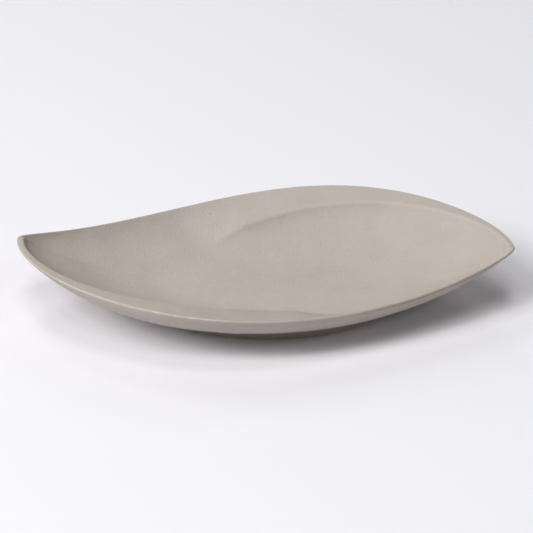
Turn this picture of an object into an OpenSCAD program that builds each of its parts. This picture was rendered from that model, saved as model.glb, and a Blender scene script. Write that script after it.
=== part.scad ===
// Leaf-shaped serving dish in matt-glazed stoneware, resting on a foot ring.
//
// Every outline and profile is a function of one angle t round the dish, in degrees: 0 is the
// right tip, 90 the middle of the back and 180 the left tip. The front is the back turned half
// a turn about Z. A fraction r runs from the centre of the dish (0) to the rim's edge (1).

/* [Outline] */
// Length from tip to tip
dish_length = 360; // [260:5:420]
// Distance from the long axis to the rim at mid-length
half_width = 100; // [75:1:115]
// How far each side's belly leans towards the tip where its ledge starts
lean = 0.33; // [0.2:0.01:0.4]
// How much the sides straighten towards both tips
straighten = 0.27; // [0.1:0.01:0.35]
// Sharpness of the tips: 1 is an ellipse, more is more pointed
tip_sharpness = 1.2; // [1:0.05:1.5]

/* [Rim] */
// Height of the rim at the tips
tip_height = 48; // [40:0.5:60]
// Height of the rim at mid-length
mid_height = 40.5; // [34:0.5:50]
// Size of the rise and dip of each side's rim
rim_wave = 15; // [0:0.5:20]
// Width of the level lip along the rim
lip_width = 2; // [1.2:0.1:4]
// Width of bare clay that shows at the rim's edge
bare_edge = 0.8; // [0.4:0.1:1]

/* [Ledge] */
// Share of the radius by which the ledge would widen in half a turn
ledge_share = 0.6; // [0.3:0.01:0.7]
// How late the ledge widens: 1 is evenly, more is later
ledge_delay = 2.35; // [1.5:0.05:3]
// Depth of the ledge's inner edge below the rim at mid-length
ledge_drop = 7.8; // [4:0.1:12]
// Angle from its tip at which the ledge starts to melt into the wall
fade_start = 98; // [80:1:100]
// Angle from its tip at which the ledge has gone
fade_end = 120; // [105:1:140]
// Height of the steep step inside the ledge's edge, at its tip
step_tip = 4.8; // [2:0.1:6]
// Height of that step at mid-length
step_mid = 3.4; // [1:0.1:5]
// Width over which the step falls to a third of its height
step_width = 3.6; // [2:0.1:8]

/* [Bowl] */
// Height of the floor inside the dish
floor_height = 13.5; // [12:0.5:18]
// Share of the radius that the flat floor takes
floor_share = 0.3; // [0.1:0.01:0.5]
// Steepening of the wall towards the ledge or the rim: 1 is straight
wall_curve = 2.2; // [1.4:0.1:3]
// How fast the floor's round outline turns into the rim's pointed one
round_floor = 2; // [1:0.1:4]

/* [Foot] */
// Half the foot ring's length
foot_half_length = 95; // [70:1:110]
// Half the foot ring's width
foot_half_width = 58; // [40:1:65]
// Turn of the foot ring about Z
foot_turn = 2; // [0:0.5:5]
// Height of the foot ring
foot_height = 8; // [5:0.5:10]
// Thickness of the foot ring where it joins the body
foot_thickness = 7; // [5:0.5:9]
// Height of bare clay above the table
bare_foot = 1.2; // [1:0.1:3]

/* [Glaze] */
// Thickness of the glaze coats
glaze = 0.4; // [0.3:0.05:0.6]

/* [Hidden] */

around = 96;        // sections round the dish
bowl_steps = 13;    // rings from the centre to the ledge's inner edge
bowl_crowding = 1.8; // how much they crowd towards that edge: 1 is evenly
ledge_steps = 3;    // rings from there to the lip
wall_steps = 9;     // rings from the foot ring to the face under the rim's edge
wall_crowding = 1.5; // how much they crowd towards that edge: 1 is evenly
tip_ledge = 0.025;  // share of the radius that the ledge takes at its tip
tip_wrap = 10;      // angle in which the ledge's start wraps round the tip
step_wrap = 50;     // angle in which the step inside it dies out past the tip
tip_face = 1.2;     // height of the upright face under the rim's edge at the tips
face_share = 0.008; // share of the outer wall's width that the face takes
first_fade = 0.4;   // drop from the rim's edge to the lip on the plain stretches
foot_inset = 1.5;   // narrowing of the foot ring's faces down to its rounded edges
foot_round = 1;     // rounding of the foot ring's lower edges

clay_colour = [0.80, 0.75, 0.66];
glaze_colour = [0.72, 0.68, 0.64];

angles = [for (i = [0 : around - 1]) 360 * i / around];

// Smooth step from 0 to 1, and a mix of two values or points
function step01(x) = let (v = min(1, max(0, x))) v * v * (3 - 2 * v);
function mix(a, b, share) = a + (b - a) * share;

// Which side of the dish an angle is on, and its angle from the tip where that side's ledge starts
function side(t) = sin(t) < 0 ? -1 : 1;
function from_tip(t) = t - 180 * floor(t / 180);

// Rim's edge
function swing(t) = cos(t) * side(t);
function rim_x(t) = dish_length / 2 * cos(t);
function rim_y(t) = half_width * side(t) * pow(abs(sin(t)), tip_sharpness)
    * (1 + lean * swing(t) - straighten * pow(cos(t), 2));
function rim_z(t) = mix(mid_height, tip_height, pow(cos(t), 4))
    + rim_wave * swing(t) * pow(sin(t), 2);
function rim(t) = [rim_x(t), rim_y(t), rim_z(t)];
function reach(t) = norm([rim_x(t), rim_y(t)]);

// Ledge: how much of it there is, the fraction at its inner edge, and that edge's height
function gone(t, from, to) = step01((from_tip(t) - from) / (to - from));
function ledge(t) = 1 - gone(t, fade_start, fade_end) + gone(t, 180 - tip_wrap, 180);
function ledge_edge(t) = 1 - tip_ledge
    - ledge_share * pow(sin(from_tip(t) / 2), ledge_delay) * (1 - gone(t, fade_end, 180 - tip_wrap));
function ledge_z(t) = rim_z(t)
    - ledge_drop * pow(from_tip(t) / 90, 2) * (1 - gone(t, fade_end, 180 - tip_wrap));

// Fractions at which the lip and the bare edge start
function lip(t) = 1 - lip_width / reach(t);
function bare(t) = 1 - bare_edge / reach(t);

// Height of the inside surface at fraction r
function rise(r, to) = pow(max(0, r - floor_share) / (to - floor_share), wall_curve);
function stepped_z(t, r, to, top_z, step) = mix(floor_height, top_z,
    mix(rise(r, to), exp(-max(0, to - r) * reach(t) / step_width), step / (top_z - floor_height)));
function ledge_step(t) = mix(step_tip, step_mid, abs(sin(t)));
function ledged_z(t, r) = r <= ledge_edge(t)
    ? stepped_z(t, r, ledge_edge(t), ledge_z(t), ledge_step(t))
    : mix(ledge_z(t), rim_z(t), (r - ledge_edge(t)) / (1 - ledge_edge(t)));
function plain_step(t) = step_tip * gone(t, 180 - step_wrap, 180);
function plain_z(t, r) = stepped_z(t, r, lip(t), rim_z(t) - first_fade, plain_step(t));
function wall_z(t, r) = mix(plain_z(t, r), ledged_z(t, r), ledge(t));
function inside_z(t, r) = r <= lip(t)
    ? wall_z(t, r)
    : mix(wall_z(t, lip(t)), rim_z(t), (r - lip(t)) / (1 - lip(t)));

// Points of the inside surface from the first ring round the centre out to the bare edge
function inside(t, r) =
    [r * rim_x(t), r * mix(half_width * sin(t), rim_y(t), pow(r, round_floor)), inside_z(t, r)];
function inside_points(t) = [
    for (k = [1 : bowl_steps])
        inside(t, ledge_edge(t) * (1 - pow(1 - k / bowl_steps, bowl_crowding))),
    for (k = [1 : ledge_steps]) inside(t, mix(ledge_edge(t), lip(t), k / ledge_steps)),
    inside(t, bare(t))];

// Foot ring: points on its outer and inner faces at height z
function foot_point(t, inset, z) =
    let (x = (foot_half_length - inset) * cos(t - foot_turn),
         y = (foot_half_width - inset) * sin(t - foot_turn))
    [x * cos(foot_turn) - y * sin(foot_turn), x * sin(foot_turn) + y * cos(foot_turn), z];
function foot_taper(z) = foot_inset * (foot_height - z) / (foot_height - foot_round);
function foot_outer(t, z) = foot_point(t, foot_taper(z), z);
function foot_inner(t, z) = foot_point(t, foot_thickness - foot_taper(z), z);

// Points of the underside from the foot ring out to just short of the rim's edge
function bulge(t, q) = let (flat = 1.05 + 0.9 * pow(cos(t), 2), full = 1.6 - 0.6 * pow(cos(t), 2))
    1 - pow(1 - pow(q, flat), 1 / full);
function face(t, q) = tip_face * pow(cos(t), 8) * pow(q, 2) * step01((1 - q) / face_share);
function outside(t, q) =
    let (p = mix(foot_point(t, 0, foot_height), rim(t), q))
    [p[0], p[1], mix(foot_height, rim_z(t), bulge(t, q)) - face(t, q)];
function outside_points(t) = [
    for (k = [0 : wall_steps - 1]) outside(t, 1 - pow(1 - k / wall_steps, wall_crowding)),
    outside(t, 1 - face_share)];

// Two triangles across the shorter diagonal of a four-sided patch
function patch(p, a, b, c, d) = norm(p[a] - p[c]) <= norm(p[b] - p[d])
    ? [[a, b, c], [a, c, d]]
    : [[a, b, d], [b, c, d]];

function reversed(list) = [for (i = [len(list) - 1 : -1 : 0]) list[i]];

// Solid through closed sections that stand round Z, as a ring
module ring_solid(sections) {
    n = len(sections);
    m = len(sections[0]);
    points = [for (s = sections) each s];
    faces = [for (i = [0 : n - 1]) for (j = [0 : m - 1])
        let (k = (i + 1) % n, l = (j + 1) % m)
        each patch(points, i * m + j, i * m + l, k * m + l, k * m + j)];
    polyhedron(points, faces);
}

// Solid through open sections that run from one point on Z to another
module capped_solid(sections, first, last) {
    n = len(sections);
    m = len(sections[0]);
    points = [for (s = sections) each s, first, last];
    sides = [for (i = [0 : n - 1]) for (j = [0 : m - 2])
        let (k = (i + 1) % n)
        each patch(points, i * m + j, i * m + j + 1, k * m + j + 1, k * m + j)];
    caps = [for (i = [0 : n - 1])
        let (k = (i + 1) % n)
        each [[n * m, i * m, k * m], [n * m + 1, k * m + m - 1, i * m + m - 1]]];
    polyhedron(points, concat(sides, caps));
}

// Fired clay: the bowl with its ledges and lip, and a flat patch underneath for the foot ring
module clay_body() {
    color(clay_colour)
    capped_solid(
        [for (t = angles) concat(inside_points(t), [rim(t)], reversed(outside_points(t)))],
        [0, 0, floor_height], [0, 0, foot_height]);
}

// Clay ring that stands on the table, tapered and rounded at its lower edges
module foot_ring() {
    land = foot_inset + foot_round;
    color(clay_colour)
    ring_solid([for (t = angles) [
        foot_inner(t, foot_height), foot_inner(t, foot_round), foot_point(t, foot_thickness - land, 0),
        foot_point(t, land, 0), foot_outer(t, foot_round), foot_outer(t, bare_foot),
        foot_outer(t, foot_height)]]);
}

// Glaze over the inside, up to the bare edge
module inside_glaze() {
    lift = [0, 0, glaze];
    color(glaze_colour)
    capped_solid(
        [for (t = angles) let (clay = inside_points(t))
            concat([for (p = clay) p + lift], reversed(clay))],
        [0, 0, floor_height] + lift, [0, 0, floor_height]);
}

// Glaze over the outside wall and down the foot ring to its bare stretch
module outside_glaze() {
    color(glaze_colour)
    ring_solid([for (t = angles) let (
        foot = foot_outer(t, bare_foot),
        clay = concat([foot], outside_points(t)),
        wide = 1 + glaze / norm([foot[0], foot[1]]),
        last = len(clay) - 1,
        coat = [for (i = [0 : last]) let (p = clay[i], grow = i == last ? 1 : wide)
            [p[0] * grow, p[1] * grow, i == 0 ? bare_foot : p[2] - glaze]])
        concat(coat, reversed(clay))]);
}

// Glaze on the base inside the foot ring
module base_glaze() {
    color(glaze_colour)
    translate([0, 0, foot_height - glaze])
    linear_extrude(glaze)
    polygon([for (t = angles) let (p = foot_inner(t, foot_height - glaze)) [p[0], p[1]]]);
}

clay_body();
foot_ring();
inside_glaze();
outside_glaze();
base_glaze();
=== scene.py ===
"""Leaf-shaped serving dish in matt-glazed stoneware, standing on its foot ring on a pale table.

The clay's skin is worked out once, as cross-sections that run from the middle of the bowl over
the rim and down to the foot. The clay body, the foot ring and the three coats of glaze are built
from it, each as a closed mesh. Shapes are worked out in millimetres and become metres in the mesh.
"""

import logging
import math
from dataclasses import dataclass, field
from enum import Enum

import bpy
import numpy as np
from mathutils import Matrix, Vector


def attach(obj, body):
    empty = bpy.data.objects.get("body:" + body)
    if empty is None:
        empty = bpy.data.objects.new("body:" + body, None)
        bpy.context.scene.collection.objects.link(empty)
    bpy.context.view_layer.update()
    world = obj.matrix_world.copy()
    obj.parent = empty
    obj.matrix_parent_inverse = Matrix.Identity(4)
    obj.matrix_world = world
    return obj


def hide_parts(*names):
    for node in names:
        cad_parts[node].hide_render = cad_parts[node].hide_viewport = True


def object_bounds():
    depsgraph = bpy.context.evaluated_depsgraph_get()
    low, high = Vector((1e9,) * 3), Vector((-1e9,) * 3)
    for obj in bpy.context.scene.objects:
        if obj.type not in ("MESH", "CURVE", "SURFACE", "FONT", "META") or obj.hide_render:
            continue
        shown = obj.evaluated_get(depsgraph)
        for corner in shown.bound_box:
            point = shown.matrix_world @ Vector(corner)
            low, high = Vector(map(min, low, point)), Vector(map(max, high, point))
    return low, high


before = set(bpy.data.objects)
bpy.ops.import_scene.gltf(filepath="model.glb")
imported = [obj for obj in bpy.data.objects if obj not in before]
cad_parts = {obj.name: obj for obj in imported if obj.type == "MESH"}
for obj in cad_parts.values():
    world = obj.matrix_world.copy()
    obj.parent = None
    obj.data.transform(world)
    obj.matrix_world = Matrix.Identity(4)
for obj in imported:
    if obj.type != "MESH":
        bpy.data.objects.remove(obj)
CAD_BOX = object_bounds()

log = logging.getLogger("dish")

Array = np.ndarray
Colour = tuple[float, float, float]

MM = 0.001          # metres in a millimetre
HALF_TURN = 180.0   # degrees; the front of the dish is its back turned by this


class Slot(Enum):
    """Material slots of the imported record."""

    CLAY = "clay"
    GLAZE = "glaze"


class Mark(Enum):
    """Small marks that firing left in the glaze."""

    PIT = "pit"        # a burst bubble: a small hollow, painted dark as the shade inside it
    GRIT = "grit"      # a grain of clay under the glaze: a small pale bump


# ---------------------------------------------------------------------------------------------
# Shape
# ---------------------------------------------------------------------------------------------


def step01(x: Array) -> Array:
    """Smooth step from 0 to 1 while x goes from 0 to 1."""
    v = np.clip(x, 0.0, 1.0)
    return v * v * (3.0 - 2.0 * v)


def mix(a: Array, b: Array, share: Array) -> Array:
    """Value that lies the given share of the way from a to b."""
    return a + (b - a) * share


def sin_deg(t: Array) -> Array:
    """Sine of an angle in degrees."""
    return np.sin(np.radians(t))


def cos_deg(t: Array) -> Array:
    """Cosine of an angle in degrees."""
    return np.cos(np.radians(t))


@dataclass(frozen=True)
class DishForm:
    """Outlines and heights of the dish in millimetres.

    Angles t are in degrees round the dish: 0 is the right tip, 90 the middle of the back and 180
    the left tip. Fractions r run from the centre (0) to the rim's edge (1).
    """

    half_length: float
    half_width: float = 100.0
    lean: float = 0.33            # how far each side's belly leans towards its ledge's start
    straighten: float = 0.27      # how much the sides straighten towards the tips
    tip_sharpness: float = 1.2
    tip_height: float = 48.0
    mid_height: float = 40.5
    rim_wave: float = 15.0        # rise and dip of each side's rim
    lip_width: float = 2.0
    ledge_share: float = 0.6      # share of the radius that the ledge would take in half a turn
    ledge_delay: float = 2.35     # how late the ledge widens
    ledge_drop: float = 7.8       # its inner edge below the rim at mid-length
    fade_start: float = 98.0      # angle from its tip at which the ledge starts to melt away
    fade_end: float = 120.0
    step_tip: float = 4.8         # height of the steep step inside the ledge, at its tip
    step_mid: float = 3.4         # and at mid-length
    step_width: float = 3.6       # width over which the step falls to a third
    floor_height: float = 13.5
    floor_share: float = 0.3      # share of the radius that the flat floor takes
    wall_curve: float = 2.2       # steepening of the wall towards the ledge or the rim
    round_floor: float = 2.0      # how fast the floor's round outline turns into the rim's
    foot_half_length: float = 95.0
    foot_half_width: float = 58.0
    foot_turn: float = 2.0
    foot_height: float = 8.0
    foot_thickness: float = 7.0
    foot_inset: float = 1.5       # how far the ring's faces lean in towards each other
    bare_foot: float = 1.2        # height of bare clay above the table
    tip_ledge: float = 0.025      # share of the radius that the ledge takes at its tip
    tip_wrap: float = 10.0        # angle in which the ledge's start wraps round the tip
    step_wrap: float = 50.0       # and angle in which the step inside it dies out
    first_fade: float = 0.4       # drop from the rim's edge to the lip on the plain stretches
    tip_face: float = 1.2         # height of the upright face under the rim's edge at the tips
    face_share: float = 0.008     # share of the outer wall's width that the face takes
    flat_side: float = 1.05       # how long the outer wall stays flat: at mid-length
    flat_tip: float = 1.95        # and towards the tips
    full_side: float = 1.6        # how steeply it then ends at the rim: at mid-length
    full_tip: float = 1.0         # and towards the tips

    def rim(self, t: Array) -> tuple[Array, Array, Array]:
        """Rim's edge.

        Args:
            t: Angles round the dish.

        Returns:
            The edge's x, y and z.
        """
        s, c = sin_deg(t), cos_deg(t)
        side = np.where(s < 0, -1.0, 1.0)
        swing = c * side
        width = 1.0 + self.lean * swing - self.straighten * c * c
        x = self.half_length * c
        y = self.half_width * side * np.abs(s) ** self.tip_sharpness * width
        z = mix(self.mid_height, self.tip_height, c**4) + self.rim_wave * swing * s * s
        return x, y, z

    def reach(self, t: Array) -> Array:
        """Level distance from the centre to the rim's edge."""
        x, y, _ = self.rim(t)
        return np.hypot(x, y)

    def gone(self, t: Array, start: float, end: float) -> Array:
        """Smooth step between two angles from the tip where a side's ledge starts.

        Args:
            t: Angles round the dish.
            start: Angle from the tip at which the step is still 0.
            end: Angle from the tip at which it has become 1.

        Returns:
            The step's value at each angle.
        """
        return step01((t % HALF_TURN - start) / (end - start))

    def ledge(self, t: Array) -> Array:
        """How much of the ledge there is: 1 where it is whole and 0 where it has melted away."""
        regrown = self.gone(t, HALF_TURN - self.tip_wrap, HALF_TURN)
        return 1.0 - self.gone(t, self.fade_start, self.fade_end) + regrown

    def ledge_edge(self, t: Array) -> Array:
        """Where the ledge's inner edge lies.

        Args:
            t: Angles round the dish.

        Returns:
            Fractions of the radius.
        """
        widening = np.abs(sin_deg(t % HALF_TURN / 2.0)) ** self.ledge_delay
        back_out = 1.0 - self.gone(t, self.fade_end, HALF_TURN - self.tip_wrap)
        return 1.0 - self.tip_ledge - self.ledge_share * widening * back_out

    def ledge_height(self, t: Array) -> Array:
        """Height of the ledge's inner edge."""
        back_up = 1.0 - self.gone(t, self.fade_end, HALF_TURN - self.tip_wrap)
        return self.rim(t)[2] - self.ledge_drop * (t % HALF_TURN / 90.0) ** 2 * back_up

    def lip(self, t: Array) -> Array:
        """Fraction of the radius at which the lip starts."""
        return 1.0 - self.lip_width / self.reach(t)

    def rise(self, r: Array, end: Array) -> Array:
        """How far up the wall fraction r is.

        Args:
            r: Fractions of the radius.
            end: Fraction at which the wall ends.

        Returns:
            Shares of the wall's height.
        """
        start = self.floor_share
        return (np.maximum(0.0, r - start) / (end - start)) ** self.wall_curve

    def stepped(self, smooth: Array, depth: Array, height: Array, from_edge: Array) -> Array:
        """Adds the steep step that the wall ends in.

        Args:
            smooth: How far up the plain wall each place is, from 0 to 1.
            depth: Height of the step.
            height: Height of the whole wall.
            from_edge: Level distances in from the wall's upper end.

        Returns:
            How far up the stepped wall each place is.
        """
        step = np.exp(-np.maximum(0.0, from_edge) / self.step_width)
        return mix(smooth, step, depth / height)

    def wall_height(self, t: Array, r: Array) -> Array:
        """Height of the floor, wall and ledge.

        Args:
            t: Angles round the dish.
            r: Fractions of the radius, up to the lip.

        Returns:
            Heights of the clay's surface.
        """
        edge, ledge_z, rim_z = self.ledge_edge(t), self.ledge_height(t), self.rim(t)[2]
        reach, floor_z, lip = self.reach(t), self.floor_height, self.lip(t)
        step = mix(self.step_tip, self.step_mid, np.abs(sin_deg(t)))
        smooth = self.rise(np.minimum(r, edge), edge)
        rise = self.stepped(smooth, step, ledge_z - floor_z, (edge - r) * reach)
        below = mix(floor_z, ledge_z, rise)
        above = mix(ledge_z, rim_z, (r - edge) / (1.0 - edge))
        ledged = np.where(r <= edge, below, above)
        lip_z = rim_z - self.first_fade
        step = self.step_tip * self.gone(t, HALF_TURN - self.step_wrap, HALF_TURN)
        smooth = self.rise(r, lip)
        rise = self.stepped(smooth, step, lip_z - floor_z, (lip - r) * reach)
        plain = mix(floor_z, lip_z, rise)
        return mix(plain, ledged, self.ledge(t))

    def inside(self, t: Array, r: Array) -> Array:
        """Points of the clay's inside surface.

        Args:
            t: Angles round the dish.
            r: Fractions of the radius, from 0 to 1.

        Returns:
            An array of points, with x, y and z in its last axis.
        """
        x, y, rim_z = self.rim(t)
        lip = self.lip(t)
        lip_z = self.wall_height(t, lip)
        wall = self.wall_height(t, np.minimum(r, lip))
        z = np.where(r <= lip, wall, mix(lip_z, rim_z, (r - lip) / (1.0 - lip)))
        y = mix(self.half_width * sin_deg(t), y, r**self.round_floor)
        return np.stack([r * x, r * y, z], -1)

    def foot_point(self, t: Array, inset: Array, z: Array) -> Array:
        """Points on an oval inside the foot ring's outline.

        Args:
            t: Angles round the dish.
            inset: Distances in from the outline.
            z: Heights above the table.

        Returns:
            An array of points.
        """
        x = (self.foot_half_length - inset) * cos_deg(t - self.foot_turn)
        y = (self.foot_half_width - inset) * sin_deg(t - self.foot_turn)
        c, s = cos_deg(self.foot_turn), sin_deg(self.foot_turn)
        return np.stack([x * c - y * s, x * s + y * c, z + 0.0 * x], -1)

    def outside(self, t: Array, q: Array) -> Array:
        """Points of the outer wall.

        Args:
            t: Angles round the dish.
            q: Fractions of the way from the foot ring (0) to the rim's edge (1).

        Returns:
            An array of points.
        """
        x, y, z = self.rim(t)
        foot = self.foot_point(t, 0.0, self.foot_height)
        along = cos_deg(t) ** 2
        flat = mix(self.flat_side, self.flat_tip, along)
        full = mix(self.full_side, self.full_tip, along)
        bulge = 1.0 - (1.0 - q**flat) ** (1.0 / full)
        face = self.tip_face * along**4 * q**2 * step01((1.0 - q) / self.face_share)
        height = mix(self.foot_height, z, bulge) - face
        return np.stack([mix(foot[..., 0], x, q), mix(foot[..., 1], y, q), height], -1)


def sample_rows(table: Array, places: Array) -> Array:
    """Values between the samples of each row.

    Args:
        table: Samples, as rows by samples by components.
        places: Sample numbers to read at, which may be fractions, as rows by places.

    Returns:
        Values as rows by places by components.
    """
    places = np.clip(places, 0.0, table.shape[1] - 1.0)
    low = np.minimum(places.astype(int), table.shape[1] - 2)
    share = (places - low)[..., None]
    first = np.take_along_axis(table, low[..., None], 1)
    second = np.take_along_axis(table, low[..., None] + 1, 1)
    return first + (second - first) * share


def running_mean(table: Array, reach: Array) -> Array:
    """Mean of each row over a window whose size may change along the row.

    Args:
        table: Samples, as rows by samples by components.
        reach: Half of the window at each sample, in samples.

    Returns:
        The smoothed samples, in the same shape as table.
    """
    steps = 0.5 * (table[:, 1:] + table[:, :-1])
    total = np.concatenate([np.zeros_like(table[:, :1]), np.cumsum(steps, 1)], 1)
    here = np.arange(table.shape[1])[None]
    room = np.minimum(here, table.shape[1] - 1 - here)
    reach = np.minimum(np.maximum(reach, 0.02), np.maximum(room, 0.02))
    low = np.clip(here - reach, 0, table.shape[1] - 1)
    high = np.clip(here + reach, 0, table.shape[1] - 1)
    return (sample_rows(total, high) - sample_rows(total, low)) / (high - low)[..., None]


@dataclass
class ClaySkin:
    """Surface of the fired clay, as one cross-section for each angle round the dish.

    Places on a cross-section are in millimetres from the rim's edge: negative towards the middle
    of the bowl, positive down the outer wall. Sharp edges of the form are rounded here.
    """

    form: DishForm
    spokes: int = 640
    inside_samples: int = 640
    outside_samples: int = 420
    foot_samples: int = 40
    rim_round: float = 0.9       # half of the window that rounds the rim's edge
    crease_round: float = 2.6    # and the ledge's inner edge
    joint_round: float = 2.2     # and the corner between the wall and the foot ring
    slight_round: float = 0.35   # and everything else
    round_zone: float = 1.5      # half-windows over which a rounding dies out
    crease_zone: float = 3.0     # and over which the ledge's does
    crease_room: float = 4.0     # half-windows that the ledge's rounding needs before the rim
    second_pass: float = 0.6     # size of the second smoothing's windows beside the first's
    middle_samples: int = 3      # samples that face straight up about the middle of the bowl

    angles: Array = field(init=False)
    inside_length: Array = field(init=False)
    outside_length: Array = field(init=False)
    crease: Array = field(init=False)
    joint: Array = field(init=False)
    points: Array = field(init=False)
    normals: Array = field(init=False)

    def __post_init__(self) -> None:
        """Works out the cross-sections, rounds them and finds which way the surface faces."""
        form = self.form
        self.angles = np.arange(self.spokes) * 360.0 / self.spokes
        t = self.angles[:, None]
        r = np.linspace(0.0, 1.0, 2 * self.inside_samples)[None]
        inner, inner_length = self.evened(form.inside(t, r), self.inside_samples)
        self.inside_length = inner_length[:, -1]
        edge = form.ledge_edge(self.angles)
        self.crease = np.array(
            [np.interp(e, r[0], row) for e, row in zip(edge, inner_length)]
        ) - self.inside_length

        q = 1.0 - (np.linspace(0.0, 1.0, 2 * self.outside_samples)[None]) ** 2
        wall = form.outside(t, q)
        drop = np.linspace(0.0, 1.0, self.foot_samples)[None, 1:]
        z = mix(form.foot_height, form.bare_foot, drop)
        taper = form.foot_inset * drop
        foot = form.foot_point(t, taper, z)
        outer, outer_length = self.evened(np.concatenate([wall, foot], 1), self.outside_samples)
        self.outside_length = outer_length[:, -1]
        self.joint = outer_length[:, wall.shape[1] - 1]

        raw = np.concatenate([inner, outer[:, 1:]], 1)
        place = self.places()
        wide = self.slight_round + 0.0 * place
        for centre, size in ((0.0 * self.crease, self.rim_round), (self.joint, self.joint_round)):
            wide += (size - self.slight_round) * self.near(place, centre, self.round_zone * size)
        shrunk = np.minimum(1.0, -self.crease / (self.crease_room * self.crease_round))
        bend = self.crease_round * shrunk[:, None]
        wide += (bend - self.slight_round) * self.near(place, self.crease, self.crease_zone * bend)
        window = wide / self.spacing()
        self.points = running_mean(running_mean(raw, window), self.second_pass * window)
        self.normals = self.facing(self.points)

    @staticmethod
    def evened(path: Array, samples: int) -> tuple[Array, Array]:
        """Cross-sections with evenly spaced samples.

        Args:
            path: Points, as spokes by samples by three.
            samples: Number of samples wanted.

        Returns:
            The new points, and the distance along the old ones from the start.
        """
        steps = np.linalg.norm(np.diff(path, axis=1), axis=2)
        length = np.concatenate([np.zeros((len(path), 1)), np.cumsum(steps, 1)], 1)
        out = np.empty((len(path), samples, 3))
        for row, (points, along) in enumerate(zip(path, length)):
            want = np.linspace(0.0, along[-1], samples)
            for axis in range(3):
                out[row, :, axis] = np.interp(want, along, points[:, axis])
        return out, length

    @staticmethod
    def near(place: Array, centre: Array, width: Array) -> Array:
        """Smooth hump, 1 at a centre on each cross-section and 0 further away than width."""
        return step01(1.0 - np.abs(place - centre[:, None]) / width)

    def places(self) -> Array:
        """Place of every sample.

        Returns:
            Distances from the rim's edge in millimetres, as spokes by samples.
        """
        inner = np.linspace(-1.0, 0.0, self.inside_samples)[None] * self.inside_length[:, None]
        outer = np.linspace(0.0, 1.0, self.outside_samples)[None, 1:] * self.outside_length[:, None]
        return np.concatenate([inner, outer], 1)

    def spacing(self) -> Array:
        """Distance between samples.

        Returns:
            Distances in millimetres, as spokes by samples.
        """
        inner = self.inside_length[:, None] / (self.inside_samples - 1)
        outer = self.outside_length[:, None] / (self.outside_samples - 1)
        inner = np.repeat(inner, self.inside_samples, 1)
        return np.concatenate([inner, np.repeat(outer, self.outside_samples - 1, 1)], 1)

    def facing(self, points: Array) -> Array:
        """Unit vectors that stand on the surface, pointing out of the clay.

        Args:
            points: Points of the surface, as spokes by samples by three.

        Returns:
            Vectors in the same shape.
        """
        along = np.gradient(points, axis=1)
        around = np.roll(points, -1, 0) - np.roll(points, 1, 0)
        normal = np.cross(along, around)
        normal[:, : self.middle_samples] = (0.0, 0.0, 1.0)
        return normal / np.linalg.norm(normal, axis=2, keepdims=True)

    def at(self, place: Array, lift: Array = 0.0) -> Array:
        """Points on or over the skin.

        Args:
            place: Places on each cross-section, as spokes by places.
            lift: Height over the clay, negative for below its surface.

        Returns:
            Points, as spokes by places by three.
        """
        inner = self.inside_samples - 1
        index = np.where(
            place < 0.0,
            inner * (1.0 + place / self.inside_length[:, None]),
            inner + (self.outside_samples - 1) * place / self.outside_length[:, None],
        )
        normal = sample_rows(self.normals, index)
        normal /= np.linalg.norm(normal, axis=2, keepdims=True)
        lift = np.broadcast_to(lift, place.shape)[..., None]
        return sample_rows(self.points, index) + normal * lift


@dataclass(frozen=True)
class Waviness:
    """Slow unevenness of a surface made by hand, as a sum of waves in random directions.

    Attributes:
        height: Usual height of the unevenness in millimetres.
        length: Usual length of a wave in millimetres.
        seed: Seed of the random draws.
        waves: Number of waves.
    """

    height: float
    length: float
    seed: int
    waves: int = 14

    def at(self, points: Array) -> Array:
        """Height of the waves.

        Args:
            points: Points in millimetres, with x, y and z in the last axis.

        Returns:
            Heights that stay within about twice the nominal one.
        """
        draw = np.random.default_rng(self.seed)
        total = np.zeros(points.shape[:-1])
        for _ in range(self.waves):
            turn, phase = draw.uniform(0.0, 2.0 * math.pi, 2)
            tilt, stretch = draw.uniform(-0.6, 0.6), draw.uniform(0.7, 1.6)
            way = np.array([math.cos(turn), math.sin(turn), tilt]) * 2.0 * math.pi
            total += np.sin(points @ (way / (self.length * stretch)) + phase)
        return self.height * total / math.sqrt(self.waves / 2.0)


@dataclass(frozen=True)
class Wander:
    """Smooth random line round the dish, between -1 and 1 for the most part."""

    seed: int
    slow: int            # waves round the dish of the slowest part
    fast: int            # and of the fastest
    waves: int = 16
    calm: float = 0.6    # scale that keeps the line between -1 and 1 for the most part

    def at(self, t: Array) -> Array:
        """The line's value.

        Args:
            t: Angles round the dish.

        Returns:
            Values from about -1 to 1.
        """
        draw = np.random.default_rng(self.seed)
        total = np.zeros_like(t)
        turns = np.unique(np.geomspace(self.slow, self.fast, self.waves).astype(int))
        for turn in turns:
            total += draw.normal() * cos_deg(turn * t + draw.uniform(0.0, 360.0))
        return total / math.sqrt(len(turns) / 2.0) * self.calm


# ---------------------------------------------------------------------------------------------
# Meshes
# ---------------------------------------------------------------------------------------------


def grid_faces(spokes: int, rings: int, closed: bool) -> Array:
    """Four-sided faces between neighbouring cross-sections.

    Args:
        spokes: Number of cross-sections round the dish.
        rings: Number of points on each.
        closed: Whether each cross-section's last point joins its first.

    Returns:
        Vertex numbers, four to a face.
    """
    i = np.arange(spokes)[:, None]
    j = np.arange(rings if closed else rings - 1)[None]
    k, after = (i + 1) % spokes, (j + 1) % rings
    quads = [i * rings + j, i * rings + after, k * rings + after, k * rings + j]
    return np.stack(quads, -1).reshape(-1, 4)


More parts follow.
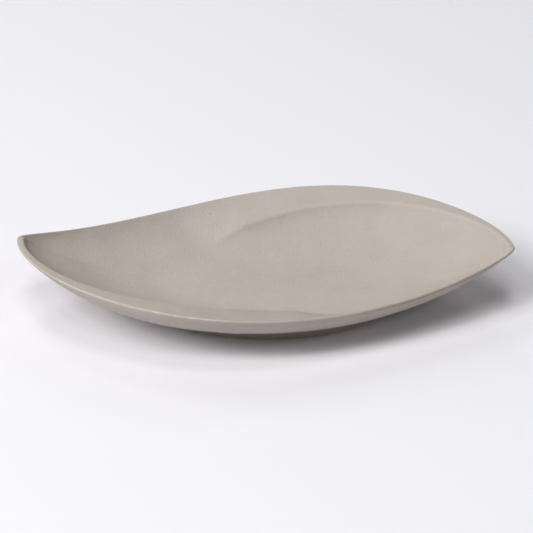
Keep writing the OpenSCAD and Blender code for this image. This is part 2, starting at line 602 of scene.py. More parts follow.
def mesh_object(name: str, points: Array, quads: Array, triangles: Array) -> bpy.types.Object:
    """Object made from vertex and face arrays.

    Args:
        name: The object's name.
        points: Vertices in millimetres.
        quads: Four-sided faces.
        triangles: Three-sided faces, which may be none.

    Returns:
        The linked object, shaded smooth.
    """
    mesh = bpy.data.meshes.new(name)
    corners = np.concatenate([quads.ravel(), triangles.ravel()]).astype(np.int32)
    starts = np.concatenate(
        [np.arange(len(quads)) * 4, len(quads) * 4 + np.arange(len(triangles)) * 3]
    )
    mesh.vertices.add(len(points))
    mesh.vertices.foreach_set("co", (points * MM).astype(np.float32).ravel())
    mesh.loops.add(len(corners))
    mesh.loops.foreach_set("vertex_index", corners)
    mesh.polygons.add(len(starts))
    mesh.polygons.foreach_set("loop_start", starts.astype(np.int32))
    mesh.polygons.foreach_set("use_smooth", np.ones(len(starts), bool))
    mesh.update(calc_edges=True)
    mesh.validate()
    piece = bpy.data.objects.new(name, mesh)
    bpy.context.scene.collection.objects.link(piece)
    return piece


def ring_mesh(name: str, sections: Array) -> bpy.types.Object:
    """Closed ring through closed cross-sections.

    Args:
        name: The object's name.
        sections: Points, as spokes by points by three.

    Returns:
        The object.
    """
    spokes, rings, _ = sections.shape
    return mesh_object(
        name, sections.reshape(-1, 3), grid_faces(spokes, rings, True), np.empty((0, 3), int)
    )


def capped_mesh(name: str, sections: Array) -> bpy.types.Object:
    """Closed body through cross-sections that start and end on the dish's upright middle line.

    Args:
        name: The object's name.
        sections: Points, as spokes by points by three; each row's ends lie on the middle line.

    Returns:
        The object.
    """
    ends = sections[:, 0].mean(0), sections[:, -1].mean(0)
    rings = sections[:, 1:-1]
    spokes, count, _ = rings.shape
    points = np.concatenate([rings.reshape(-1, 3), np.array(ends)])
    i = np.arange(spokes)
    k, first = (i + 1) % spokes, spokes * count
    top = np.stack([0 * i + first, i * count, k * count], -1)
    bottom = np.stack([0 * i + first + 1, (k + 1) * count - 1, (i + 1) * count - 1], -1)
    return mesh_object(name, points, grid_faces(spokes, count, False), np.concatenate([top, bottom]))


def store(piece: bpy.types.Object, name: str, values: Array) -> None:
    """Keeps one number for each vertex under a name that the finishes read.

    Args:
        piece: The object.
        name: Name of the values.
        values: One number for each vertex.
    """
    layer = piece.data.attributes.new(name, "FLOAT", "POINT")
    layer.data.foreach_set("value", values.astype(np.float32).ravel())


def spread(stops: list[tuple[Array, int]]) -> Array:
    """Places between stops on each cross-section.

    Args:
        stops: Place of each stop on every cross-section, with the number of steps up to it
            from the stop before; the first one's number isn't used.

    Returns:
        Places, as spokes by places.
    """
    parts = [stops[0][0][:, None]]
    for (before, _), (here, steps) in zip(stops, stops[1:]):
        share = np.arange(1, steps + 1)[None] / steps
        parts.append(mix(before[:, None], here[:, None], share))
    return np.concatenate(parts, 1)


# ---------------------------------------------------------------------------------------------
# Finishes
# ---------------------------------------------------------------------------------------------


@dataclass(frozen=True)
class Clouds:
    """Cloudy pattern, and how hard its light and dark parts are set apart.

    Attributes:
        size: Size of the clouds in millimetres.
        detail: Number of finer layers.
        rough: Strength of the finer layers.
        soft: How far from the middle of its range the pattern still changes; less is harder.
    """

    size: float
    detail: float = 2.0
    rough: float = 0.5
    soft: float = 0.2


@dataclass(frozen=True)
class Dots:
    """Scattered round dots.

    Attributes:
        spacing: Usual distance between the dots' cells in millimetres.
        radius: Radius of the largest dots in millimetres.
        share: Share of the cells that hold a dot.
        least: Radius of the smallest dots beside the largest's.
    """

    spacing: float
    radius: float
    share: float
    least: float = 0.4


class Recipe:
    """Node tree of one material, with short calls for the nodes that the finishes share."""

    def __init__(self, name: str) -> None:
        """Starts a material with its shader and output.

        Args:
            name: The material's name.
        """
        self.material = bpy.data.materials.new(name)
        self.material.use_nodes = True
        self.tree = self.material.node_tree
        self.shader = self.tree.nodes["Principled BSDF"]
        self.place = self.node("ShaderNodeTexCoord").outputs["Object"]

    def node(self, kind: str, **settings: object) -> bpy.types.Node:
        """Adds a node.

        Args:
            kind: Name of the node's type.
            **settings: Properties of the node.

        Returns:
            The node.
        """
        made = self.tree.nodes.new(kind)
        for key, value in settings.items():
            setattr(made, key, value)
        return made

    def feed(self, socket: bpy.types.NodeSocket, value: object) -> None:
        """Links a socket to another node's output, or sets it to a constant.

        Args:
            socket: The socket to feed.
            value: The other node's socket, or the constant.
        """
        if isinstance(value, bpy.types.NodeSocket):
            self.tree.links.new(value, socket)
        else:
            socket.default_value = value

    def maths(self, operation: str, *values: object, clamp: bool = False) -> bpy.types.NodeSocket:
        """Arithmetic on one to three values.

        Args:
            operation: Name of the operation, such as MULTIPLY.
            *values: Sockets or numbers.
            clamp: Whether the result is kept between 0 and 1.

        Returns:
            The result's socket.
        """
        made = self.node("ShaderNodeMath", operation=operation, use_clamp=clamp)
        for socket, value in zip(made.inputs, values):
            self.feed(socket, value)
        return made.outputs[0]

    def noise(self, clouds: Clouds) -> bpy.types.NodeSocket:
        """Cloudy noise from 0 to 1.

        Args:
            clouds: Its size and detail.

        Returns:
            The noise's socket.
        """
        made = self.node("ShaderNodeTexNoise")
        self.feed(made.inputs["Vector"], self.place)
        made.inputs["Scale"].default_value = 1.0 / (clouds.size * MM)
        made.inputs["Detail"].default_value = clouds.detail
        made.inputs["Roughness"].default_value = clouds.rough
        return made.outputs["Fac"]

    def mottled(self, clouds: Clouds, low: float = 0.0, high: float = 1.0) -> bpy.types.NodeSocket:
        """Cloudy noise with its middle range stretched between two values.

        Args:
            clouds: The noise's size, detail and hardness.
            low: Value of the dark parts.
            high: Value of the light parts.

        Returns:
            The result's socket.
        """
        return self.ranged(self.noise(clouds), 0.5 - clouds.soft, 0.5 + clouds.soft, low, high)

    def dots(self, kind: Dots) -> bpy.types.NodeSocket:
        """Scattered round dots, 1 in their middles and 0 between them.

        Args:
            kind: Their spacing, size and share.

        Returns:
            The dots' socket.
        """
        cells = self.node("ShaderNodeTexVoronoi", feature="F1")
        self.feed(cells.inputs["Vector"], self.place)
        cells.inputs["Scale"].default_value = 1.0 / (kind.spacing * MM)
        split = self.node("ShaderNodeSeparateColor")
        self.feed(split.inputs[0], cells.outputs["Color"])
        chosen = self.maths("LESS_THAN", split.outputs[0], kind.share)
        largest, least = kind.radius / kind.spacing, kind.radius * kind.least / kind.spacing
        size = self.maths("MULTIPLY_ADD", split.outputs[1], largest - least, least)
        away = self.maths("DIVIDE", cells.outputs["Distance"], size)
        near = self.maths("SUBTRACT", 1.0, away, clamp=True)
        return self.maths("MULTIPLY", near, chosen)

    def ranged(
        self, value: object, low: float, high: float, to_low: float, to_high: float
    ) -> bpy.types.NodeSocket:
        """Value moved from one range to another, smoothly at the ends.

        Args:
            value: Socket to move.
            low: Start of its range.
            high: End of its range.
            to_low: Result at the start.
            to_high: Result at the end.

        Returns:
            The result's socket.
        """
        made = self.node("ShaderNodeMapRange", interpolation_type="SMOOTHSTEP")
        for socket, item in zip(made.inputs, (value, low, high, to_low, to_high)):
            self.feed(socket, item)
        return made.outputs[0]

    def blend(self, share: object, first: object, second: object) -> bpy.types.NodeSocket:
        """Mix of two colours.

        Args:
            share: Share of the second colour, as a socket or a number.
            first: A colour or a socket.
            second: A colour or a socket.

        Returns:
            The mixed colour's socket.
        """
        made = self.node("ShaderNodeMix", data_type="RGBA")
        self.feed(made.inputs[0], share)
        for socket, colour in ((made.inputs[6], first), (made.inputs[7], second)):
            self.feed(socket, (*colour, 1.0) if isinstance(colour, tuple) else colour)
        return made.outputs[2]

    def bump(self, layers: list[tuple[object, float]]) -> None:
        """Relief that the shader adds to the mesh.

        Args:
            layers: Height sockets, each with the height in millimetres that a value of 1 stands for.
        """
        under = None
        for height, size in layers:
            made = self.node("ShaderNodeBump")
            made.inputs["Strength"].default_value = 1.0
            made.inputs["Distance"].default_value = size * MM
            self.feed(made.inputs["Height"], height)
            if under is not None:
                self.feed(made.inputs["Normal"], under)
            under = made.outputs[0]
        self.feed(self.shader.inputs["Normal"], under)

    def stored(self, name: str) -> bpy.types.NodeSocket:
        """Number that was stored on the mesh under a name."""
        return self.node("ShaderNodeAttribute", attribute_name=name).outputs["Fac"]


@dataclass(frozen=True)
class Blemish:
    """One mark in the inside glaze.

    Attributes:
        kind: What the mark is.
        x: Place along the dish in millimetres.
        y: Place across it in millimetres.
        radius: Its radius in millimetres.
    """

    kind: Mark
    x: float
    y: float
    radius: float

    @property
    def core(self) -> float:
        """Radius inside which the mark is at its strongest."""
        return 0.35 * self.radius


@dataclass(frozen=True)
class MattGlaze:
    """Matt warm-grey glaze with fine orange peel, faint clouds, pinholes and pale grains.

    It is paler where it is thin and carries painted shade in the pocket inside the left tip and
    under the front rim's edge; its pinholes are painted dark for the shade in them. Sizes are in
    millimetres.
    """

    name: str = "matt_glaze"
    colour: Colour = (0.436, 0.386, 0.346)
    deep: Colour = (0.402, 0.353, 0.314)
    thin: Colour = (0.520, 0.462, 0.398)
    # dark colour of the painted shade in the left tip's pocket and under the front rim's edge
    painted_shade_colour: Colour = (0.215, 0.175, 0.145)
    # pinholes' colour: painted shade inside the hollows
    pit: Colour = (0.17, 0.14, 0.115)
    grit: Colour = (0.60, 0.55, 0.48)
    pit_shade_strength: float = 0.75
    grit_strength: float = 0.5
    clouds: Clouds = Clouds(28.0, 3.0, 0.55)
    grains: Clouds = Clouds(1.1, 2.0, 0.6, 0.25)
    grain_share: float = 0.4        # share of the grains in the shade; the clouds have the rest
    mottle: Clouds = Clouds(6.0)
    roughness: tuple[float, float] = (0.54, 0.63)
    refraction: float = 1.5
    gloss: float = 0.35             # strength of the reflection that doesn't take the colour
    pits: Dots = Dots(9.0, 0.34, 0.3)
    flecks: Dots = Dots(6.5, 0.42, 0.25)
    pit_depth: float = 0.25
    fleck_height: float = 0.12
    peel: Clouds = Clouds(1.5, 3.0, 0.6)
    peel_height: float = 0.40
    tooth: Clouds = Clouds(0.5, 2.0, 0.6)
    tooth_height: float = 0.13
    blemishes: tuple[Blemish, ...] = (
        Blemish(Mark.PIT, -45.0, 75.0, 0.6),
        Blemish(Mark.PIT, 80.0, -42.0, 0.6),
        Blemish(Mark.GRIT, 28.0, -24.0, 0.7),
        Blemish(Mark.GRIT, 29.5, -27.5, 0.8),
        Blemish(Mark.GRIT, 27.0, -30.0, 0.6),
        Blemish(Mark.GRIT, 60.0, 42.0, 0.8),
        Blemish(Mark.GRIT, 82.0, 50.0, 0.7),
    )

    def material(self) -> bpy.types.Material:
        """Builds the glaze's material.

        Returns:
            The material, which reads the stored thinness and the stored share of painted shade.
        """
        recipe = Recipe(self.name)
        fine = recipe.maths("MULTIPLY", recipe.mottled(self.grains), self.grain_share)
        shade = recipe.maths("MULTIPLY_ADD", recipe.mottled(self.clouds), 1.0 - self.grain_share, fine)
        colour = recipe.blend(shade, self.deep, self.colour)
        colour = recipe.blend(recipe.stored("thinness"), colour, self.thin)
        # painted shade: darkens the glaze in the left tip's pocket and under the front rim's edge
        colour = recipe.blend(recipe.stored("painted_shade_share"), colour, self.painted_shade_colour)
        pits, flecks = recipe.dots(self.pits), recipe.dots(self.flecks)
        for mark in self.blemishes:
            near = self.around(recipe, mark)
            if mark.kind is Mark.PIT:
                pits = recipe.maths("MAXIMUM", pits, near)
            else:
                flecks = recipe.maths("MAXIMUM", flecks, near)
        colour = recipe.blend(recipe.maths("MULTIPLY", flecks, self.grit_strength), colour, self.grit)
        # pinholes are painted dark as the shade inside them, beside their bump
        colour = recipe.blend(recipe.maths("MULTIPLY", pits, self.pit_shade_strength), colour, self.pit)
        recipe.feed(recipe.shader.inputs["Base Color"], colour)
        recipe.feed(recipe.shader.inputs["Roughness"], recipe.mottled(self.mottle, *self.roughness))
        recipe.shader.inputs["IOR"].default_value = self.refraction
        recipe.shader.inputs["Specular IOR Level"].default_value = self.gloss
        recipe.bump(
            [
                (recipe.noise(self.peel), self.peel_height),
                (recipe.noise(self.tooth), self.tooth_height),
                (pits, -self.pit_depth),
                (flecks, self.fleck_height),
            ]
        )
        return recipe.material

    @staticmethod
    def around(recipe: Recipe, mark: Blemish) -> bpy.types.NodeSocket:
        """Round spot about a mark.

        Args:
            recipe: The material that it belongs to.
            mark: The mark.

        Returns:
            Socket that is 1 at the mark's middle and 0 outside its radius.
        """
        flat = recipe.node("ShaderNodeVectorMath", operation="MULTIPLY")
        recipe.feed(flat.inputs[0], recipe.place)
        flat.inputs[1].default_value = (1.0, 1.0, 0.0)
        away = recipe.node("ShaderNodeVectorMath", operation="DISTANCE")
        recipe.feed(away.inputs[0], flat.outputs[0])
        away.inputs[1].default_value = (mark.x * MM, mark.y * MM, 0.0)
        return recipe.ranged(away.outputs["Value"], mark.core * MM, mark.radius * MM, 1.0, 0.0)


@dataclass(frozen=True)
class BareClay:
    """Bare fired clay: pale cream, rough, with fine sand and a few rust-coloured specks."""

    name: str = "bare_clay"
    colour: Colour = (0.70, 0.63, 0.51)
    shade: Colour = (0.55, 0.48, 0.385)
    speck: Colour = (0.27, 0.17, 0.09)
    clouds: Clouds = Clouds(5.0, 3.0, 0.6, 0.15)
    specks: Dots = Dots(3.5, 0.5, 0.3)
    speck_strength: float = 0.8
    mottle: Clouds = Clouds(2.0)
    roughness: tuple[float, float] = (0.79, 0.91)
    gloss: float = 0.2
    sand: Clouds = Clouds(0.8, 3.0, 0.6)
    sand_height: float = 0.12
    dust: Clouds = Clouds(0.25, 1.0, 0.5)
    dust_height: float = 0.04

    def material(self) -> bpy.types.Material:
        """Builds the clay's material.

        Returns:
            The material.
        """
        recipe = Recipe(self.name)
        colour = recipe.blend(recipe.mottled(self.clouds), self.shade, self.colour)
        specks = recipe.maths("MULTIPLY", recipe.dots(self.specks), self.speck_strength)
        recipe.feed(recipe.shader.inputs["Base Color"], recipe.blend(specks, colour, self.speck))
        recipe.feed(recipe.shader.inputs["Roughness"], recipe.mottled(self.mottle, *self.roughness))
        recipe.shader.inputs["Specular IOR Level"].default_value = self.gloss
        layers = ((self.sand, self.sand_height), (self.dust, self.dust_height))
        recipe.bump([(recipe.noise(clouds), height) for clouds, height in layers])
        return recipe.material


@dataclass(frozen=True)
class PaleTable:
    """Pale matt table top."""

    name: str = "pale_table"
    colour: Colour = (0.80, 0.79, 0.825)
    darkest: float = 0.99           # darkest parts beside the lightest
    clouds: Clouds = Clouds(300.0)
    mottle: Clouds = Clouds(60.0)
    roughness: tuple[float, float] = (0.82, 0.88)
    gloss: float = 0.15

    def material(self) -> bpy.types.Material:
        """Builds the table's material.

        Returns:
            The material.
        """
        recipe = Recipe(self.name)
        low = tuple(self.darkest * c for c in self.colour)
        colour = recipe.blend(recipe.noise(self.clouds), low, self.colour)
        recipe.feed(recipe.shader.inputs["Base Color"], colour)
        recipe.feed(recipe.shader.inputs["Roughness"], recipe.mottled(self.mottle, *self.roughness))
        recipe.shader.inputs["Specular IOR Level"].default_value = self.gloss
        return recipe.material


# ---------------------------------------------------------------------------------------------
# The dish
# ---------------------------------------------------------------------------------------------


def fit(
    piece: bpy.types.Object, node: str, finish: bpy.types.Material
) -> bpy.types.Object:
    """Puts a finished piece in the place of its node.

    Args:
        piece: The object.
        node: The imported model's node that it stands for.
        finish: Its material.

    Returns:
        The same object.
    """
    piece.data.materials.append(finish)
    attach(piece, "root")
    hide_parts(node)
    return piece


@dataclass(frozen=True)
class Stretch:
    """Stretch of the rim where the clay shows.

    Attributes:
        start: Its first angle round the dish.
        end: Its last angle.
        share: How bare it is, from 0 to 1.
    """

    start: float
    end: float
    share: float

    def at(self, t: Array, fade: float) -> Array:
        """How bare the rim is because of this stretch.

        Args:
            t: Angles round the dish.
            fade: Angle in which the stretch opens or closes.

        Returns:
            Shares from 0 to 1.
        """
        return self.share * step01((t - self.start) / fade + 1.0) * step01((self.end - t) / fade + 1.0)


@dataclass(frozen=True)
class Nick:
    """Small nick in the rim's edge.

    Attributes:
        angle: Its place round the dish.
        half: Half of its width in degrees of turn.
        depth: How far it reaches in millimetres.
    """

    angle: float
    half: float
    depth: float

    def at(self, t: Array) -> Array:
        """Depth of the nick at each angle, in millimetres."""
        return self.depth * step01(1.0 - np.abs(t - self.angle) / self.half)


@dataclass
class GlazeEdge:
    """Line along the rim where the glaze stops.

    The glaze pulled back from the rim on a few stretches of the front, where a thread of pale
    clay shows. Elsewhere the coats all but meet on the rim's edge. The line wavers and has nicks.
    """

    stretches: tuple[Stretch, ...] = (
        Stretch(221.0, 234.0, 1.0), Stretch(226.0, 273.0, 0.4), Stretch(250.0, 258.0, 1.0),
    )
    fade: float = 8.0
    shut: float = 0.05          # half of the gap where the coats all but meet
    least: float = 0.04         # and the least that the waver leaves of it
    open_inside: float = 0.20   # how far the inside coat pulled back, from the rim's edge
    open_outside: float = 0.16
    waver: float = 0.6
    nicks: tuple[Nick, ...] = (
        Nick(219.0, 0.7, 0.9), Nick(236.0, 0.6, 0.5), Nick(247.0, 1.2, 1.0), Nick(251.5, 0.8, 0.9),
        Nick(255.0, 1.3, 1.1), Nick(262.5, 0.8, 0.8), Nick(280.0, 0.7, 0.8), Nick(287.0, 0.5, 0.5),
        Nick(292.0, 0.5, 0.4), Nick(358.5, 0.7, 0.8),
    )
    nick_pull: float = 0.5      # share of a nick's depth by which each coat draws back at it
    chip_share: float = 0.3     # depth of the chip in the clay, beside the nick's
    chip_reach: float = 1.4     # distance from the edge to which the chip reaches, likewise

    def gap(self, t: Array, wide: float, seed: int) -> Array:
        """Distance from the rim's edge to one coat's edge.

        Args:
            t: Angles round the dish.
            wide: The distance on the barest stretch.
            seed: Seed of the wavering.

        Returns:
            Distances in millimetres.
        """
        bare = np.max([stretch.at(t, self.fade) for stretch in self.stretches], 0)
        gap = mix(self.shut, wide, bare) * (1.0 + self.waver * Wander(seed, 14, 150).at(t))
        return np.maximum(gap + self.nick_pull * sum(nick.at(t) for nick in self.nicks), self.least)

    def inside(self, t: Array) -> Array:
        """Place of the inside coat's edge on each cross-section."""
        return -self.gap(t, self.open_inside, 11)

    def outside(self, t: Array) -> Array:
        """Place of the outside coat's edge on each cross-section."""
        return self.gap(t, self.open_outside, 12)

    def chip(self, t: Array, place: Array) -> Array:
        """Depth of the nicks in the clay.

        Args:
            t: Angles round the dish.
            place: Places on each cross-section, as spokes by places.

        Returns:
            Depths in millimetres.
        """
        chips = [
            nick.at(t)[:, None] * step01(1.0 - np.abs(place) / (self.chip_reach * nick.depth))
            for nick in self.nicks
        ]
        return self.chip_share * np.max(chips, 0)


@dataclass
class ClayParts:
    """The fired clay: the body, and the foot ring under it."""

    skin: ClaySkin
    edge: GlazeEdge
    finish: BareClay = BareClay()
    rim_zone: float = 2.2      # half of the finely meshed band along the rim
    crease_zone: float = 6.0   # and along the ledge's inner edge
    crease_clear: float = 14.0  # distance from the rim at which that band has its full width
    joint_zone: float = 4.0    # width of the one above the foot ring
    sunk: float = 0.05         # how far the clay lies lower under the coats
    foot_round: float = 1.0
    embed: float = 0.6         # how far the foot ring reaches up into the body
    foot_waver: float = 0.05   # unevenness of the foot's lower edges

    def body(self) -> bpy.types.Object:
        """Builds the body, whose rim is fine and whose covered parts are coarser.

        Returns:
            The object.
        """
        skin, form, t = self.skin, self.skin.form, self.skin.angles
        rim = 0.0 * t
        room = self.crease_zone * np.clip(-skin.crease / self.crease_clear, 0.15, 1.0)
        place = spread(
            [
                (-skin.inside_length, 0), (skin.crease - room, 30), (skin.crease + room, 12),
                (rim - self.rim_zone, 10), (rim + self.rim_zone, 22),
                (skin.joint - self.joint_zone, 26), (skin.joint, 4),
            ]
        )
        depth = self.edge.chip(t, place) + self.sunk * step01((np.abs(place) - 2.0) / 2.0)
        sections = skin.at(place, -depth)
        sections[:, -1] = form.foot_point(t, 0.0, form.foot_height)
        middle = np.broadcast_to((0.0, 0.0, form.foot_height), (len(t), 1, 3))
        return capped_mesh("clay_bowl", np.concatenate([sections, middle], 1))

    def foot(self) -> bpy.types.Object:
        """Builds the foot ring, tapered, with rounded lower edges and a faint waver.

        Returns:
            The object.
        """
        form, t = self.skin.form, self.skin.angles
        thick, taper, top = form.foot_thickness, form.foot_inset, form.foot_height
        bend, land = self.foot_round, taper + self.foot_round
        outer = [
            (taper + bend * (1.0 - cos_deg(turn)), bend * (1.0 - sin_deg(turn)))
            for turn in np.linspace(0.0, 90.0, 7)
        ]
        inner = [(thick - inset, z) for inset, z in reversed(outer)]
        flat = [(land + (thick - 2.0 * land) * share, 0.0) for share in (0.25, 0.5, 0.75)]
        wall_out = [(taper * z / top, top - z) for z in (-self.embed, 0.0, 1.5, 3.0, 4.5, 6.0)]
        wall_in = [(thick - inset, z) for inset, z in reversed(wall_out)]
        profile = wall_out + outer + flat + inner + wall_in
        sections = np.stack([form.foot_point(t, inset, z) for inset, z in profile], 1)
        height = sections[..., 2]
        waver = self.foot_waver * (1.0 + Wander(21, 2, 9).at(t))[:, None]
        sections[..., 2] += waver * step01(1.0 - height / top) * (height > 0.3)
        return ring_mesh("foot_ring_clay", sections)

    def build(self) -> list[bpy.types.Object]:
        """Builds and dresses both parts.

        Returns:
            The body and the foot ring.
        """
        clay = self.finish.material()
        return [
            fit(self.body(), "clay_body", clay),
            fit(self.foot(), "foot_ring", clay),
        ]


@dataclass(frozen=True)
class PaintedShade:
    """Painted shade: dark colour laid on the glaze where shade falls.

    It is painted at the foot of the step inside the left tip, where the ledge shades the pocket,
    and under the rim's edge along the right half of the front, where it also stands for the glaze's
    brownish thin edge. Widths and distances are in millimetres, turns in degrees.
    """

    groove: float = 0.6            # strength of the painted shade at the step's foot
    groove_away: float = 2.6       # distance from the ledge's inner edge
    groove_width: float = 1.5
    groove_front: float = 24.0     # turn in which it fades along the front
    groove_back: float = 9.0       # and along the back
    under: float = 0.75            # strength of the painted shade under the rim's edge
    under_away: float = 1.9        # distance from that edge
    under_width: float = 0.9
    under_start: float = 285.0     # angle at which it starts
    under_rise: float = 25.0       # turn in which it grows
    under_fall: float = 6.0        # turn in which it fades past the right tip

    def at(self, skin: ClaySkin, place: Array) -> Array:
        """How much shade is painted on the glaze.

        Args:
            skin: The clay under it.
            place: Places on each cross-section.

        Returns:
            Shares from 0 to 1.
        """
        t = skin.angles
        turn = t - HALF_TURN
        along = np.exp(-((turn / np.where(turn > 0.0, self.groove_front, self.groove_back)) ** 2))
        away = place - skin.crease[:, None] + self.groove_away
        groove = self.groove * np.exp(-((away / self.groove_width) ** 2)) * along[:, None]
        grown = step01((t - self.under_start) / self.under_rise)
        past = step01(1.0 - t / self.under_fall)
        under = self.under * np.exp(-(((place - self.under_away) / self.under_width) ** 2))
        return np.clip(groove + under * (grown + past)[:, None], 0.0, 1.0)


@dataclass
class GlazeCoats:
    """The three coats of glaze: inside, outside, and on the base inside the foot ring."""

    skin: ClaySkin
    edge: GlazeEdge
    finish: MattGlaze = MattGlaze()
    thickness: float = 0.34
    bead: float = 0.9           # width over which a coat rounds down to its edge
    bite: float = 0.2           # how far a coat's back lies in the clay
    waves: Waviness = Waviness(0.06, 34.0, 3)
    ripples: Waviness = Waviness(0.018, 9.0, 4)
    calm: float = 8.0           # distance from a coat's edge at which it is fully uneven
    thin_share: float = 0.2     # how thin it broke over the rim and the ledge's inner edge
    thin_rim: float = 1.0       # width in which it did so at the rim
    thin_crease: float = 1.6    # and at the ledge's inner edge
    foot_gap: float = 0.25      # usual bare height at the outside coat's lower edge
    base_overlap: float = 0.1   # how far the base coat reaches into the foot ring
    climb: float = 1.3          # how far the base coat climbs down the foot ring's inside
    climb_width: float = 0.9
    # painted shade in the left tip's pocket and under the front rim's edge
    painted_shade: PaintedShade = PaintedShade()

    def lift(self, from_edge: Array) -> Array:
        """Thickness of a coat at a distance from its edge."""
        share = np.clip(from_edge / self.bead, 0.0, 1.0)
        return self.thickness * np.sqrt(1.0 - (1.0 - share) ** 2)

    def uneven(self, points: Array, from_edge: Array) -> Array:
        """Unevenness of a coat, which dies out at its edge.

        Args:
            points: Points of the coat.
            from_edge: Their distances from its edge.

        Returns:
            Heights in millimetres.
        """
        return (self.waves.at(points) + self.ripples.at(points)) * step01(from_edge / self.calm)

    def coat(self, place: Array, from_edge: Array) -> tuple[Array, Array]:
        """Both faces of a coat.

        Args:
            place: Places on each cross-section.
            from_edge: Distance of each from the coat's edge.

        Returns:
            Points of the face that shows, and of the back.
        """
        thick = self.lift(from_edge)
        thick = thick + self.uneven(self.skin.at(place, thick), from_edge)
        return self.skin.at(place, thick), self.skin.at(place, -self.bite)

    def thinness(self, place: Array) -> Array:
        """How thin the glaze broke over the edges: at the rim and along the ledge's inner edge.

        Args:
            place: Places on each cross-section.

        Returns:
            Shares from 0 to 1.
        """
        skin = self.skin
        rim = np.exp(-((place / self.thin_rim) ** 2))
        crease = np.exp(-(((place - skin.crease[:, None]) / self.thin_crease) ** 2))
        sharp = skin.form.ledge(skin.angles)[:, None]
        return np.clip(self.thin_share * (rim + crease * sharp), 0.0, 1.0)

    def store_shares(self, piece: bpy.types.Object, place: Array, hidden: int, ends: int) -> None:
        """Keeps the glaze's thinness and its share of painted shade on a coat.

        Args:
            piece: The coat.
            place: Places of the face that shows, as spokes by places.
            hidden: Number of points on the back of each cross-section.
            ends: Number of lone vertices that follow the cross-sections.
        """
        # the second share is painted shade
        for name, share in (
            ("thinness", self.thinness(place)), ("painted_shade_share", self.painted_shade.at(self.skin, place))
        ):
            values = np.concatenate([share, np.zeros((len(place), hidden))], 1)
            store(piece, name, np.concatenate([values.ravel(), np.zeros(ends)]))

    def inner(self) -> bpy.types.Object:
        """Builds the coat over the floor, walls and ledges.

        Returns:
            The object.
        """
        skin = self.skin
        end = self.edge.inside(skin.angles)
        half = np.clip(-skin.crease * 0.3, 1.0, 6.0)
        place = spread(
            [
                (-skin.inside_length, 0), (skin.crease - half, 84), (skin.crease + half, 24),
                (end - 2.4, 26), (end - 0.5, 8), (end, 5),
            ]
        )
        front, back = self.coat(place, end[:, None] - place)
        piece = capped_mesh("glaze_inside", np.concatenate([front, back[:, ::-1][:, 1:]], 1))
        self.store_shares(piece, place[:, 1:], back.shape[1] - 2, 2)
        return piece

    def outer(self) -> bpy.types.Object:
        """Builds the coat over the outer wall and down the foot ring.

        Returns:
            The object.
        """
        skin, t = self.skin, self.skin.angles
        start = self.edge.outside(t)
        stop = skin.outside_length - self.foot_gap * (1.0 + Wander(31, 6, 60).at(t))
        place = spread(
            [
                (start, 0), (start + 0.5, 5), (start + 3.0, 9), (skin.joint - 5.0, 46),
                (skin.joint + 2.0, 14), (stop - 0.8, 5), (stop, 5),
            ]
        )
        front, back = self.coat(place, np.minimum(place - start[:, None], stop[:, None] - place))
        piece = ring_mesh("glaze_outside", np.concatenate([front, back[:, ::-1][:, 1:-1]], 1))
        self.store_shares(piece, place, back.shape[1] - 2, 0)
        return piece

    def base(self) -> bpy.types.Object:
        """Builds the coat on the base, which climbs a little where it meets the foot ring.

        Returns:
            The object.
        """
        form, t = self.skin.form, self.skin.angles
        edge = form.foot_thickness - self.base_overlap
        insets = np.concatenate(
            [edge + np.linspace(0.0, 2.2, 9), np.linspace(edge + 4.0, form.foot_half_width - 1.0, 22)]
        )
        low, high = form.foot_height - self.thickness, form.foot_height + self.bite
        middle = np.zeros((len(t), 3))
        sections = [middle + (0.0, 0.0, high)]
        sections += [form.foot_point(t, inset, high) for inset in (25.0, edge - 0.05)]
        for inset in insets:
            climb = self.climb * math.exp(-((inset - edge) / self.climb_width))
            ring = form.foot_point(t, inset, low - climb)
            ring[..., 2] -= 0.5 * self.uneven(ring, 0.0 * t + inset - edge)
            sections.append(ring)
        sections.append(middle + (0.0, 0.0, low))
        piece = capped_mesh("glaze_base", np.stack(sections, 1))
        # the base coat carries no thinness and no painted shade
        for name in ("thinness", "painted_shade_share"):
            store(piece, name, np.zeros(len(piece.data.vertices)))
        return piece

    def build(self) -> list[bpy.types.Object]:
        """Builds and dresses the three coats.

        Returns:
            The inside, outside and base coats.
        """
        glaze = self.finish.material()
        return [
            fit(self.inner(), "inside_glaze", glaze),
            fit(self.outer(), "outside_glaze", glaze),
            fit(self.base(), "base_glaze", glaze),
        ]


# ---------------------------------------------------------------------------------------------
# The table, the lights and the camera
# ---------------------------------------------------------------------------------------------


def direction(azimuth: float, elevation: float) -> Vector:
    """Unit vector towards a place round the dish.

    Args:
        azimuth: Degrees round from the front, positive towards the right.
        elevation: Degrees above the table.

    Returns:
        The vector.
    """
    a, e = math.radians(azimuth), math.radians(elevation)
    return Vector((math.cos(e) * math.sin(a), -math.cos(e) * math.cos(a), math.sin(e)))


@dataclass(frozen=True)
class SoftBox:
    """Soft rectangular light that faces the dish.

    Attributes:
        name: Its name.
        azimuth: Degrees round from the front, positive towards the right.
        elevation: Degrees above the table.
        power: Its power in watts.
        size: Its width and height in metres.
        distance: Its distance from the dish in metres.
        colour: Its colour.
    """

    name: str
    azimuth: float
    elevation: float
    power: float
    size: tuple[float, float] = (1.0, 1.0)
    distance: float = 4.0
    colour: Colour = (1.0, 1.0, 1.0)

    def hang(self) -> None:
        """Adds the light to the scene."""
        light = bpy.data.lights.new(self.name, "AREA")
        light.shape = "RECTANGLE"
        light.size, light.size_y = self.size
        light.energy = self.power
        light.color = self.colour
        lamp = bpy.data.objects.new(self.name, light)
        bpy.context.scene.collection.objects.link(lamp)
        lamp.location = direction(self.azimuth, self.elevation) * self.distance
        lamp.rotation_euler = (-lamp.location).to_track_quat("-Z", "Y").to_euler()


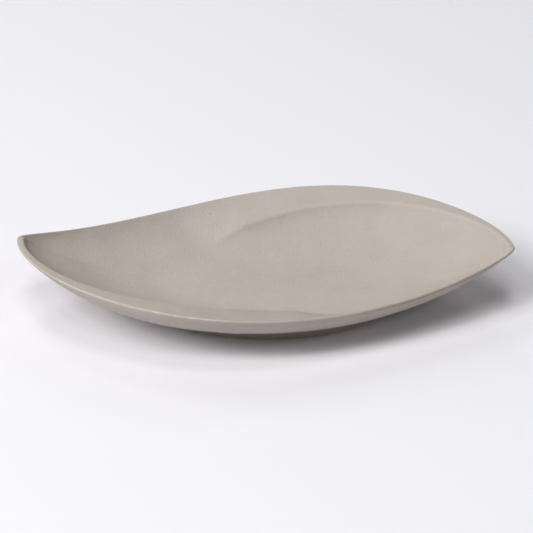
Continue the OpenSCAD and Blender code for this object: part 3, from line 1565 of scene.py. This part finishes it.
@dataclass
class Studio:
    """Pale table, soft lights and the camera. Lengths are in metres, powers in watts."""

    half_size: float = 5.0
    table: PaleTable = PaleTable()
    sky: Colour = (0.92, 0.93, 1.0)
    sky_strength: float = 0.03
    boxes: tuple[SoftBox, ...] = (
        SoftBox("key", -60.0, 35.0, 75.0),
        SoftBox("key_low", -60.0, 25.0, 16.0),
        SoftBox("key_high", -45.0, 50.0, 50.0),
        SoftBox("left_back", -120.0, 22.0, 15.0),
        SoftBox("back_left", -150.0, 50.0, 16.0),
        SoftBox("back", 180.0, 35.0, 15.0),
        SoftBox("back_low", 180.0, 15.0, 6.0),
        SoftBox("side", 90.0, 18.0, 7.0),
        SoftBox("side_front", 60.0, 15.0, 3.0),
        SoftBox("side_high", 60.0, 38.0, 14.0),
        SoftBox("front_high", -10.0, 62.0, 28.0),
        SoftBox("top", 0.0, 84.0, 24.0),
    )
    camera_azimuth: float = 2.4
    camera_elevation: float = 30.0
    camera_distance: float = 1.4
    sensor: float = 36.0                            # millimetres, as is the focal length
    focal_length: float = 128.533
    shift: tuple[float, float] = (0.003, 0.06285)   # as shares of the view's width

    def floor(self) -> None:
        """Builds the table top."""
        h = self.half_size / MM
        corners = np.array([(-h, -h, 0.0), (h, -h, 0.0), (h, h, 0.0), (-h, h, 0.0)])
        top = mesh_object("table_top", corners, np.array([[0, 1, 2, 3]]), np.empty((0, 3), int))
        top.data.materials.append(self.table.material())

    def light(self) -> None:
        """Hangs the lights and sets the light that comes from all round."""
        world = bpy.data.worlds.new("studio")
        world.use_nodes = True
        around = world.node_tree.nodes["Background"]
        around.inputs["Color"].default_value = (*self.sky, 1.0)
        around.inputs["Strength"].default_value = self.sky_strength
        bpy.context.scene.world = world
        for box in self.boxes:
            box.hang()

    def camera(self) -> None:
        """Places the camera."""
        lens = bpy.data.cameras.new("camera")
        lens.sensor_width = self.sensor
        lens.lens = self.focal_length
        lens.shift_x, lens.shift_y = self.shift
        camera = bpy.data.objects.new("camera", lens)
        bpy.context.scene.collection.objects.link(camera)
        camera.location = direction(self.camera_azimuth, self.camera_elevation) * self.camera_distance
        camera.rotation_euler = (-camera.location).to_track_quat("-Z", "Y").to_euler()
        bpy.context.scene.camera = camera

    def build(self) -> None:
        """Sets up the whole studio."""
        self.light()
        self.camera()
        self.floor()
        bpy.context.scene.view_settings.view_transform = "Standard"
        bpy.context.scene.view_settings.look = "None"


def main() -> None:
    """Builds the studio and the dish."""
    logging.basicConfig(level=logging.INFO, format="%(name)s: %(message)s")
    Studio().build()
    half_length = (CAD_BOX[1][0] - CAD_BOX[0][0]) / 2.0 / MM
    skin = ClaySkin(DishForm(half_length=half_length))
    edge = GlazeEdge()
    for part in (ClayParts(skin, edge), GlazeCoats(skin, edge)):
        for piece in part.build():
            log.info("%s: %d vertices", piece.name, len(piece.data.vertices))


if __name__ == "__main__":
    main()
